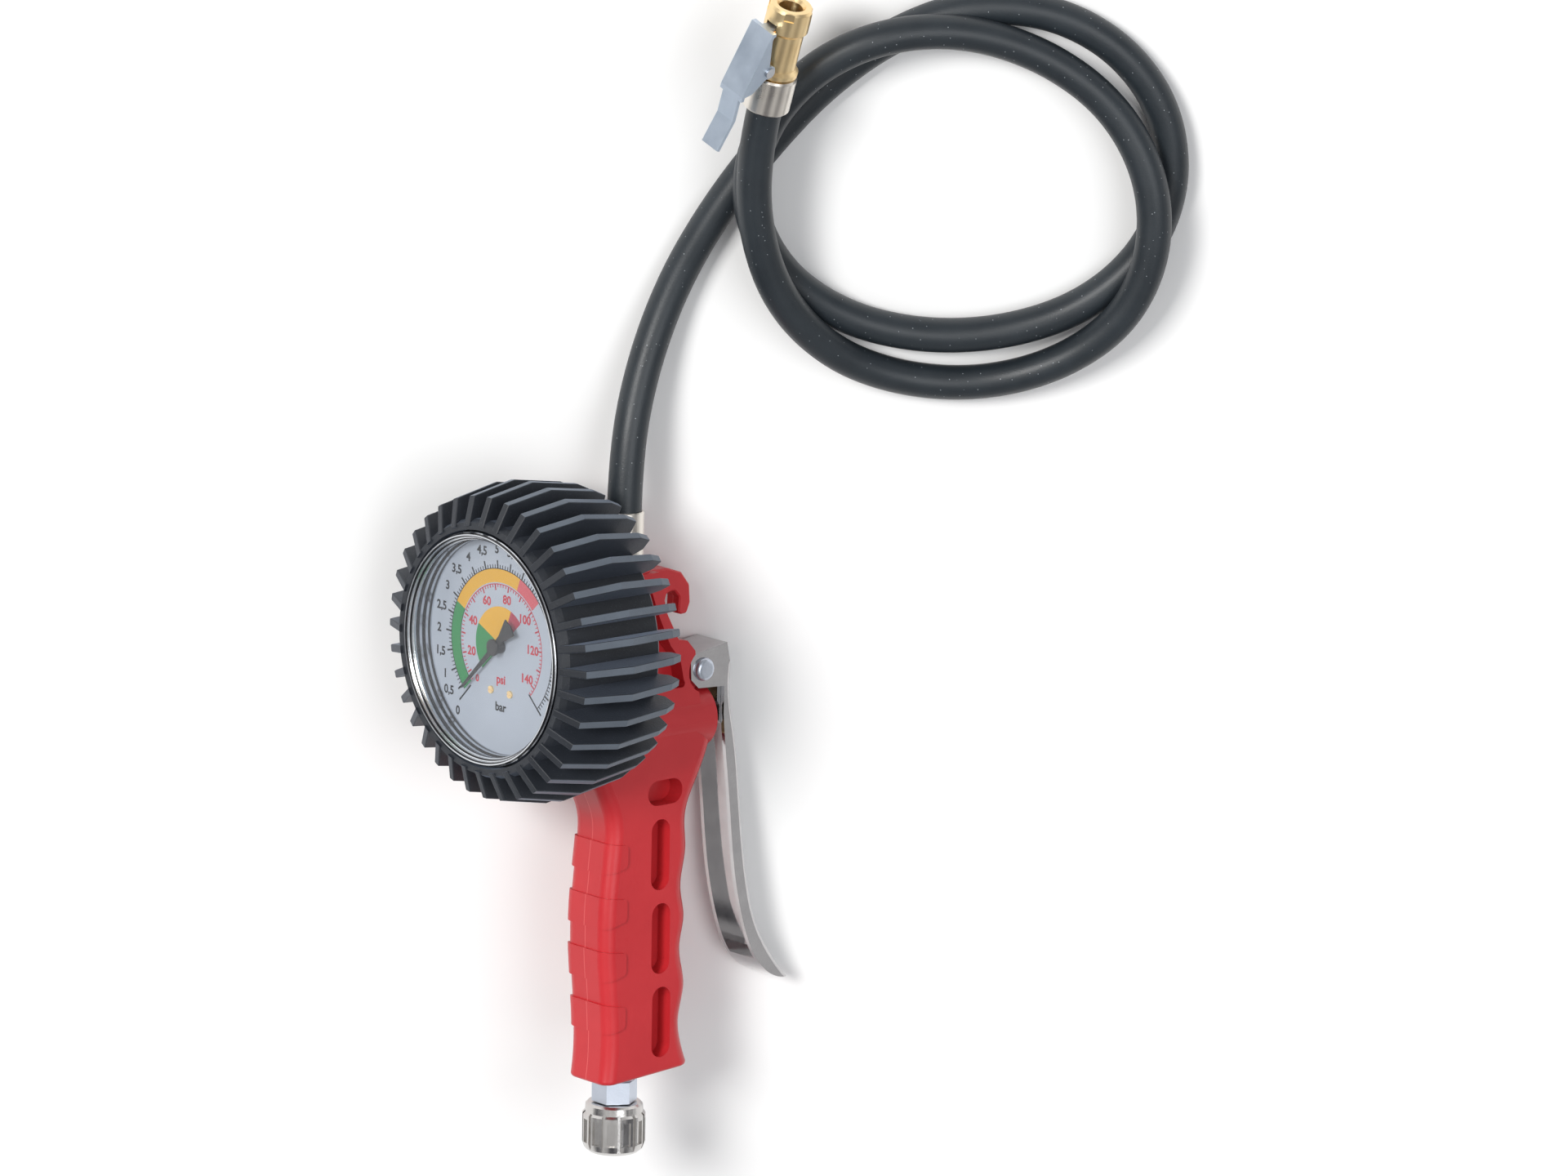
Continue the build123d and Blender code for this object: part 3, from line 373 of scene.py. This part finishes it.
# %% Hose and seal finishes
def hose_rubber():
    """Smooth slate rubber with a soft sheen and tiny pale specks."""
    finish = Finish("hose_rubber", Specular_IOR_Level=0.5)
    blotch = finish.noise(60.0, 4.0)
    colour = finish.mix(blotch, rgb(27, 33, 38), rgb(44, 51, 57))
    colour = finish.mix(finish.spots(420.0, 0.07) * 0.7, colour, rgb(170, 176, 182))
    finish.bump(finish.noise(1800.0, 2.0), 0.05 * MM)
    return finish.paint(Base_Color=colour, Roughness=blotch * 0.14 + 0.36)


def seal_rubber():
    """Plain black rubber for washers and seals."""
    finish = Finish("seal_rubber", Specular_IOR_Level=0.4)
    blotch = finish.noise(300.0)
    finish.bump(finish.noise(2500.0), 0.04 * MM)
    colour = finish.mix(blotch, rgb(22, 22, 24), rgb(40, 40, 43))
    return finish.paint(Base_Color=colour, Roughness=blotch * 0.1 + 0.55)


finishes["hose_rubber"] = hose_rubber()
finishes["seal_rubber"] = seal_rubber()
print("rubbers: hose and seals")

# %% [markdown]
# ## Metals
# Seven metals differ in colour, in how sharply they reflect and in the marks left by making them:
# a plated nut is a little cloudy, cast zinc is duller, and rolled sheet has fine streaks. One
# function makes them all from two colours, a least roughness, its spread and a grain.

# %% Metal finishes
def metal(name, dark, light, rough, spread, grain_scale, grain_depth, streak=(1.0, 1.0, 1.0)):
    """A metal between two colours, with cloudy roughness and a grain that can run in streaks."""
    finish = Finish(name, Metallic=1.0)
    cloudy = finish.noise(110.0, 4.0)
    stretched = finish.node("ShaderNodeVectorMath", {"operation": "MULTIPLY"},
                            {0: finish.place, 1: streak})
    finish.bump(finish.noise(grain_scale, 2.0, stretched), grain_depth * MM)
    return finish.paint(Base_Color=finish.mix(cloudy, dark, light), Roughness=cloudy * spread + rough)


finishes["lever_chrome"] = metal(
    "polished_chrome", rgb(176, 174, 176), rgb(208, 206, 206), 0.05, 0.10, 900.0, 0.006)
finishes["zinc"] = metal("zinc_plate", rgb(178, 186, 200), rgb(222, 228, 238), 0.26, 0.2, 1400.0, 0.03)
finishes["nut_chrome"] = metal(
    "plated_nut", rgb(184, 181, 178), rgb(224, 222, 220), 0.12, 0.16, 1100.0, 0.02)
finishes["nickel"] = metal(
    "nickel_ferrule", rgb(208, 201, 191), rgb(242, 237, 229), 0.22, 0.14, 1300.0, 0.02)
finishes["brass"] = metal(
    "turned_brass", rgb(240, 202, 140), rgb(255, 234, 188), 0.26, 0.14, 1500.0, 0.03)
finishes["steel"] = metal(
    "bright_steel", rgb(176, 178, 182), rgb(214, 216, 220), 0.2, 0.18, 1300.0, 0.02)
finishes["clip_zinc"] = metal(
    "blue_zinc_sheet", rgb(168, 182, 199), rgb(208, 219, 232), 0.34, 0.16, 700.0, 0.03, (1.0, 0.25, 1.0))
print("metals done, finishes so far:", len(finishes))

# %% [markdown]
# ## Black paint
# The gauge's case is enamelled and its needle is painted, both black and slightly uneven. The
# needle is the more matte of the two, so that it can be read against a reflection.

# %% Black paint finishes
def black_paint(name, dark, light, rough):
    """Painted black metal between two tones, with cloudy roughness."""
    finish = Finish(name, Specular_IOR_Level=0.5)
    cloudy = finish.noise(160.0, 3.0)
    finish.bump(finish.noise(1900.0), 0.02 * MM)
    return finish.paint(Base_Color=finish.mix(cloudy, dark, light), Roughness=cloudy * 0.15 + rough)


finishes["case_black"] = black_paint("case_enamel", rgb(20, 20, 22), rgb(36, 37, 40), 0.3)
finishes["needle_black"] = black_paint("needle_paint", rgb(16, 16, 17), rgb(30, 30, 32), 0.4)
print("black paint: case and needle")

# %% [markdown]
# ## The stepped rings
# The bezel is rolled in steps, and its steps alternate between bright chrome and black. The same
# stripe, worked out from the distance to the gauge's axis, paints both the bezel and the sleeve
# between the lens and the dial.

# %% Ring finishes
def ringed(name, pitch, offset, along_axis):
    """Chrome and black in turn, every half pitch, by radius or by depth along the gauge's axis."""
    finish = Finish(name)
    radius = finish.round_the_dial()[2]
    measure = finish.from_gun().along(GUN_Y) if along_axis else radius
    bright = (measure / pitch + offset).math("FRACT") > 0.5
    cloudy = finish.noise(200.0)
    finish.bump(finish.noise(1500.0), 0.01 * MM)
    silver = finish.mix(cloudy, rgb(190, 194, 200), rgb(232, 234, 238))
    colour = finish.mix(bright, rgb(22, 23, 26), silver)
    return finish.paint(Base_Color=colour, Metallic=bright, Roughness=cloudy * 0.15 + 0.14)


finishes["chrome_ring"] = ringed("stepped_bezel", 0.9 * MM, 0.1, False)
finishes["spacer"] = ringed("stepped_sleeve", 2.2 * MM, 0.35, True)
print("rings: bezel and sleeve")

# %% [markdown]
# ## The lens and the dial
# The lens is so clear that only its reflection shows: almost transparent, with an even gloss. The
# dial under it is pale blue-grey paint, with enough mottle to catch light like real paint.

# %% Lens and dial finishes
def clear_lens():
    """Clear plastic that only adds a faint reflection over the dial."""
    finish = Finish("clear_lens", Specular_IOR_Level=0.5, IOR=1.45)
    haze = finish.noise(60.0)
    colour = finish.mix(haze, rgb(238, 244, 255), rgb(250, 252, 255))
    return finish.paint(Base_Color=colour, Roughness=haze * 0.03 + 0.02, Alpha=haze * 0.02 + 0.03)


def dial_paint():
    """Matte pale blue-grey paint, very slightly mottled."""
    finish = Finish("dial_paint", Specular_IOR_Level=0.35)
    mottle = finish.noise(90.0, 4.0)
    finish.bump(finish.noise(2400.0), 0.01 * MM)
    return finish.paint(Base_Color=finish.mix(mottle, rgb(158, 167, 180), rgb(172, 180, 192)),
                        Roughness=mottle * 0.1 + 0.45)


finishes["lens"] = clear_lens()
finishes["dial_face"] = dial_paint()
print("lens and dial paint; finishes in all:", len(finishes))

# %% [markdown]
# ## Dressing the solids
# Every node takes the finish of its material slot in the record, with two exceptions: the sleeve
# behind the lens is striped, and the needle's cap is black like the needle.

# %% Dress the nodes
slot_of = {part["node"]: part["material_slot"] for part in frame["record"]["subparts"]}
slot_of.update(spacer_ring="spacer", needle_hub="needle_black")
for name, node in nodes.items():
    node.data.materials.clear()
    node.data.materials.append(finishes[slot_of[name]])
hose_curve.materials.append(finishes["hose_rubber"])
print("dressed", len(nodes), "nodes")

# %% [markdown]
# ## The valve's spring
# The coil behind the valve shortens as the plunger is pushed in. A solid can't shorten, so a
# welded copy of the coil stands in for it.

# %% Valve spring
WELD = 0.001 * MM
coil_mesh = nodes["valve_spring"].data.copy()
coil_shell = bmesh.new()
coil_shell.from_mesh(coil_mesh)
bmesh.ops.remove_doubles(coil_shell, verts=coil_shell.verts, dist=WELD)
coil_shell.to_mesh(coil_mesh)
coil_shell.free()
coil = bpy.data.objects.new("valve_coil", coil_mesh)
bpy.context.scene.collection.objects.link(coil)
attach(coil, "gun_body")
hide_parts("valve_spring")
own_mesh(coil)
print("valve coil faces", len(coil_mesh.polygons))

# %% [markdown]
# ## The dial's own measure
# Places on the dial are given as a radius and an angle, which runs clockwise from straight down
# as a reader sees the dial. Pressure runs along the angle: slowly up to 1 bar, and evenly from
# there to 10 bar. All of the dial's numbers are in the gun's millimetres.

# %% Dial angles
DIAL_Y = -54.0
SCALE_BAR = [0.0, 0.5, 1.0, 10.0]
SCALE_ANGLE = [44.0, 50.0, 63.5, 313.7]
FULL_SCALE = 10.0


def angle_of(bar):
    """The dial angle, in degrees, of a pressure in bar, by straight lines between known points."""
    return float(np.interp(bar, SCALE_BAR, SCALE_ANGLE))


def polar(radius, degrees, depth):
    """Points of the gun at a radius and an angle: x = -r sin a, z = -r cos a, and y = depth."""
    turn = np.radians(degrees)
    east, north = -radius * np.sin(turn), -radius * np.cos(turn)
    return np.stack(np.broadcast_arrays(east, depth, north), axis=-1)


print("full scale is at", angle_of(FULL_SCALE), "degrees")

# %% [markdown]
# ## Ink as thin sheets
# The dial is printed in layers of ink. A picture could show them, but a real sheet a few
# hundredths of a millimetre proud stays sharp at any distance. One function lays any set of
# closed shells on the dial.

# %% Sheet piece
INK_ROOT = DIAL_Y + 0.03     # every sheet starts just under the paint
INK_BAND = DIAL_Y - 0.04     # face of the colour bands
INK_LINE = DIAL_Y - 0.07     # face of the strokes, in front of the bands


def sheet_piece(name, points, faces, material):
    """Make closed shells from points in gun millimetres, laid on the table with the gun."""
    world = points.reshape(-1, 3) * MM @ np.array(GUN.to_3x3()).T + np.array(REST_SHIFT)
    mesh = bpy.data.meshes.new(name)
    mesh.from_pydata(world.tolist(), [], [list(map(int, face)) for face in faces])
    shell = bmesh.new()
    shell.from_mesh(mesh)
    bmesh.ops.recalc_face_normals(shell, faces=shell.faces)
    shell.to_mesh(mesh)
    shell.free()
    mesh.materials.append(material)
    piece = bpy.data.objects.new(name, mesh)
    bpy.context.scene.collection.objects.link(piece)
    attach(piece, "gun_body")
    print(name, "faces", len(mesh.polygons))


# %% [markdown]
# ## Ring sectors and strokes
# The coloured bands are parts of rings: four corners carried along an arc in steps of about two
# degrees. The marks of the scale are boxes that point outwards. Both are worked out as whole
# arrays, all bands or all marks of one ink in one sheet.

# %% Ring sectors
BAND_STEP = 2.0


def band_shell(inner, outer, first, last, start=0):
    """A flat ring sector: a rectangle of four corners carried along the arc, with both ends shut."""
    turns = np.linspace(first, last, int(abs(last - first) / BAND_STEP))
    radii = np.array([inner, outer, outer, inner])
    depths = np.array([INK_ROOT, INK_ROOT, INK_BAND, INK_BAND])
    points = polar(radii[None, :], turns[:, None], depths[None, :]).reshape(-1, 3)
    step, corner = np.meshgrid(np.arange(len(turns) - 1), np.arange(4), indexing="ij")
    here, beside = step * 4 + corner, step * 4 + (corner + 1) % 4
    sides = np.stack([here, beside, beside + 4, here + 4], axis=-1).reshape(-1, 4)
    last_row = 4 * (len(turns) - 1)
    ends = np.array([[3, 2, 1, 0], [last_row, last_row + 1, last_row + 2, last_row + 3]])
    return points, np.concatenate([sides, ends]) + start


def bands(name, sectors, material):
    """Several ring sectors, each (inner, outer, first angle, last angle), joined in one sheet."""
    points, faces, start = [], [], 0
    for sector in sectors:
        shell_points, shell_faces = band_shell(*sector, start)
        points.append(shell_points)
        faces.append(shell_faces)
        start += len(shell_points)
    sheet_piece(name, np.concatenate(points), np.concatenate(faces), material)


print("a sector of 90 degrees has", len(band_shell(1.0, 2.0, 0.0, 90.0)[1]), "faces")

# %% Strokes
STROKE_BOX = np.array([[0, 1, 2, 3], [7, 6, 5, 4], [0, 4, 5, 1], [1, 5, 6, 2], [2, 6, 7, 3],
                       [3, 7, 4, 0]])


def strokes(name, starts, ends, angles, width, material):
    """Straight boxes along radii: at each angle, four corners at the root and four at the face."""
    angles = np.asarray(angles, float)
    starts, ends = (np.broadcast_to(radius, angles.shape)[:, None] for radius in (starts, ends))
    turn = np.radians(angles)
    outward = np.stack([-np.sin(turn), np.zeros_like(turn), -np.cos(turn)], axis=-1)
    sideways = np.stack([-np.cos(turn), np.zeros_like(turn), np.sin(turn)], axis=-1) * width / 2
    corners = []
    for depth in (INK_ROOT, INK_LINE):
        for radius, side in ((starts, -1), (ends, -1), (ends, 1), (starts, 1)):
            corners.append(outward * radius + sideways * side + np.array([0.0, depth, 0.0]))
    faces = (STROKE_BOX[None] + 8 * np.arange(len(angles))[:, None, None]).reshape(-1, 4)
    sheet_piece(name, np.stack(corners, axis=1), faces, material)


print("a stroke has", len(STROKE_BOX), "faces")

# %% [markdown]
# ## Printing inks
# Screen ink is matte and covers a little unevenly, so each ink wanders between its colour and a
# slightly darker one.

# %% Inks
def ink(name, *levels):
    """Matte printing ink of a screen colour, with a trace of unevenness."""
    finish = Finish(name, Specular_IOR_Level=0.3)
    uneven = finish.noise(700.0, 3.0)
    full = rgb(*levels)
    thin = tuple(0.86 * v for v in full[:3]) + (1.0,)
    finish.bump(uneven, 0.01 * MM)
    return finish.paint(Base_Color=finish.mix(uneven, thin, full), Roughness=uneven * 0.1 + 0.5)


ink_green = ink("green_ink", 42, 134, 74)
ink_yellow = ink("yellow_ink", 218, 166, 44)
ink_rose = ink("rose_ink", 202, 88, 98)
ink_wine = ink("wine_ink", 166, 52, 74)
ink_black = ink("black_ink", 16, 16, 20)
ink_red = ink("red_ink", 186, 44, 60)
print("six inks")

# %% [markdown]
# ## Colour bands
# Green, yellow and red show which pressures suit which tyres: once in a ring along the outer
# scale, and once in a small fan round the needle's hub. A thin black line edges the ring.

# %% Colour bands
BAND_START, GREEN_END, YELLOW_END, RED_END = 46.5, 116.0, 200.7, 226.7
BAND_IN, BAND_OUT = 21.9, 26.5
FAN_IN, FAN_OUT = 3.0, 13.6
OUTLINE = 0.28
green = (BAND_START, GREEN_END)
yellow = (GREEN_END, YELLOW_END)
red = (YELLOW_END, RED_END)
bands("dial_green", [(BAND_IN, BAND_OUT, *green), (FAN_IN, FAN_OUT, *green)], ink_green)
bands("dial_yellow", [(BAND_IN, BAND_OUT, *yellow), (FAN_IN, FAN_OUT, *yellow)], ink_yellow)
bands("dial_rose", [(BAND_IN, BAND_OUT, *red)], ink_rose)
bands("dial_wine", [(FAN_IN, FAN_OUT, *red)], ink_wine)
bands("dial_outlines", [(BAND_OUT, BAND_OUT + OUTLINE, BAND_START, angle_of(FULL_SCALE)),
                        (BAND_IN - OUTLINE, BAND_IN, *green)], ink_black)

# %% [markdown]
# ## The two scales
# The outer scale is in bar, black, with a mark for each tenth and a longer one for each half. The
# inner scale is in psi, red, with a mark for each two and a longer one for each ten. Two long
# strokes show where the needle stops.

# %% Bar marks
THIN, THICK = 0.32, 0.6
bar_small = np.arange(0.5, FULL_SCALE + 0.01, 0.1)
bar_large = np.arange(0.5, FULL_SCALE + 0.01, 0.5)
small_angles = [angle_of(bar) for bar in bar_small]
large_angles = [angle_of(bar) for bar in bar_large]
stop_angles = [angle_of(0.0), angle_of(FULL_SCALE)]
strokes("dial_small_strokes", BAND_OUT, 28.0, small_angles, THIN, ink_black)
strokes("dial_large_strokes", BAND_OUT, 29.5, large_angles, THICK, ink_black)
strokes("dial_stop_strokes", [23.0, 20.5], [31.5, 28.6], stop_angles, 0.55, ink_black)

# %% Psi marks
PSI_IN_BAR = 0.068948
PSI_OUT = 21.3
psi_small = [angle_of(psi * PSI_IN_BAR) for psi in range(4, 145, 2)]
psi_large = [angle_of(psi * PSI_IN_BAR) for psi in range(10, 145, 10)]
strokes("dial_psi_small", 20.2, PSI_OUT, psi_small, THIN, ink_red)
strokes("dial_psi_large", 19.2, PSI_OUT, psi_large, 0.55, ink_red)
bands("dial_psi_arc", [(PSI_OUT - 0.15, PSI_OUT + 0.15, GREEN_END, angle_of(FULL_SCALE))], ink_red)

# %% [markdown]
# ## Figures
# Letters are easiest as Blender's own text. Each word is set upright, thickened a little as ink
# spreads, turned into a mesh, and moved to its place before the sheet is laid on the dial.

# %% Figures
FIGURE = 4.3
INK_SPREAD = 0.11
LETTER_HALF = 0.04


def word_shape(text, height):
    """The corners and faces of one word, centred, upright and flat, in millimetres."""
    letters = bpy.data.curves.new("word", "FONT")
    letters.body = text
    letters.size = height
    letters.align_x = "CENTER"
    letters.align_y = "CENTER"
    letters.extrude = LETTER_HALF
    letters.offset = INK_SPREAD
    letters.resolution_u = 3
    holder = bpy.data.objects.new("word", letters)
    bpy.context.scene.collection.objects.link(holder)
    bpy.context.view_layer.update()
    ready = holder.evaluated_get(bpy.context.evaluated_depsgraph_get())
    shape = bpy.data.meshes.new_from_object(ready)
    corners = np.empty(len(shape.vertices) * 3)
    shape.vertices.foreach_get("co", corners)
    faces = [list(polygon.vertices) for polygon in shape.polygons]
    bpy.data.objects.remove(holder)
    bpy.data.meshes.remove(shape)
    bpy.data.curves.remove(letters)
    return corners.reshape(-1, 3), faces


def figures(name, words, material):
    """Words as (text, middle on the dial, height), in one sheet just in front of the paint."""
    points, faces, start = [], [], 0
    for text, (east, _, north), height in words:
        corners, word_faces = word_shape(text, height)
        across, up, out = corners.T
        points.append(np.stack([across + east, DIAL_Y - 0.03 - out, up + north], axis=-1))
        faces += [[start + corner for corner in face] for face in word_faces]
        start += len(corners)
    sheet_piece(name, np.concatenate(points), faces, material)


print("the word psi has", len(word_shape("psi", FIGURE)[1]), "faces")

# %% [markdown]
# ## The words on the dial
# The black figures stand outside the bar scale with decimal commas, and the red ones inside the
# psi scale. The first figures of each scale are crowded, so they have places of their own.

# %% Words
def on_dial(east, north):
    """A place on the dial by its distances across and up from the middle."""
    return np.array([east, DIAL_Y, north])


bar_words = [(f"{bar:g}".replace(".", ","), polar(33.2, angle_of(bar), DIAL_Y), FIGURE)
             for bar in bar_large[1:]]
bar_words += [("0,5", on_dial(-27.6, -20.2), FIGURE), ("0", polar(35.0, 40.5, DIAL_Y), FIGURE),
              ("bar", on_dial(0.0, -21.4), FIGURE)]
figures("dial_bar_figures", bar_words, ink_black)
psi_words = [(str(psi), polar(16.4, angle_of(psi * PSI_IN_BAR), DIAL_Y), FIGURE)
             for psi in range(20, 141, 20)]
psi_words += [("psi", on_dial(0.0, -11.8), FIGURE), ("0", polar(18.4, 43.0, DIAL_Y), 3.4)]
figures("dial_psi_figures", psi_words, ink_red)

# %% [markdown]
# ## The table
# A pale, matte table takes soft shadows without drawing the eye. It is far larger than the view,
# so that its edge never shows.

# %% Table
TABLE_HALF = 6.0
table_finish = Finish("white_table", Specular_IOR_Level=0.2)
table_colour = table_finish.mix(table_finish.noise(3.0), (0.90, 0.90, 0.90, 1.0), (0.93, 0.93, 0.93, 1.0))
table_mesh = bpy.data.meshes.new("table_top")
table_corners = [(-TABLE_HALF, -TABLE_HALF, 0), (TABLE_HALF, -TABLE_HALF, 0),
                 (TABLE_HALF, TABLE_HALF, 0), (-TABLE_HALF, TABLE_HALF, 0)]
table_mesh.from_pydata(table_corners, [], [(0, 1, 2, 3)])
table_mesh.materials.append(table_finish.paint(Base_Color=table_colour, Roughness=0.85))
table = bpy.data.objects.new("table_top", table_mesh)
bpy.context.scene.collection.objects.link(table)
print("table", 2 * TABLE_HALF, "m wide")

# %% [markdown]
# ## Two lamps
# A warm key lamp from the upper left casts the shadows down and to the right, and a larger, cooler
# one opposite it opens up the dark side. Both are far away, so the table is lit evenly.

# %% Lamps
def lamp(name, place, aim, width, watts, tint):
    """A square area lamp at a place, turned towards its aim."""
    light = bpy.data.lights.new(name, "AREA")
    light.shape = "SQUARE"
    light.size = width
    light.energy = watts
    light.color = tint
    holder = bpy.data.objects.new(name, light)
    holder.location = place
    holder.rotation_mode = "QUATERNION"
    holder.rotation_quaternion = (Vector(aim) - Vector(place)).to_track_quat("-Z", "Y")
    bpy.context.scene.collection.objects.link(holder)
    print(name, watts, "W")


middle = (solid_box[0] + solid_box[1]) / 2
lamp("key_lamp", (-2.1, 2.0, 3.7), middle, 1.4, 165.0, (1.0, 0.99, 0.97))
lamp("fill_lamp", (1.7, 0.9, 4.0), middle, 2.4, 60.0, (0.96, 0.98, 1.0))

# %% [markdown]
# ## A studio sky
# Chrome looks like chrome only when it has something uneven to reflect. Soft noise, sharpened by a
# ramp, turns the sky into white cards with dark gaps between them.

# %% Sky
world = bpy.data.worlds.new("studio_sky")
world.use_nodes = True
bpy.context.scene.world = world
sky = world.node_tree
sky.nodes.clear()
sky_place = sky.nodes.new("ShaderNodeTexCoord")
sky_cards = sky.nodes.new("ShaderNodeTexNoise")
sky_ramp = sky.nodes.new("ShaderNodeValToRGB")
sky_light = sky.nodes.new("ShaderNodeBackground")
sky_output = sky.nodes.new("ShaderNodeOutputWorld")
sky_cards.inputs["Scale"].default_value = 3.4
sky_cards.inputs["Detail"].default_value = 1.0
gap, card = sky_ramp.color_ramp.elements
gap.position, gap.color = 0.42, (0.12, 0.12, 0.14, 1.0)
card.position, card.color = 0.56, (1.0, 1.0, 1.0, 1.0)
sky_light.inputs["Strength"].default_value = 0.62
sky.links.new(sky_place.outputs["Generated"], sky_cards.inputs["Vector"])
sky.links.new(sky_cards.outputs[0], sky_ramp.inputs["Fac"])
sky.links.new(sky_ramp.outputs["Color"], sky_light.inputs["Color"])
sky.links.new(sky_light.outputs[0], sky_output.inputs["Surface"])
bpy.context.scene.view_settings.view_transform = "Standard"
print("sky nodes", len(sky.nodes))
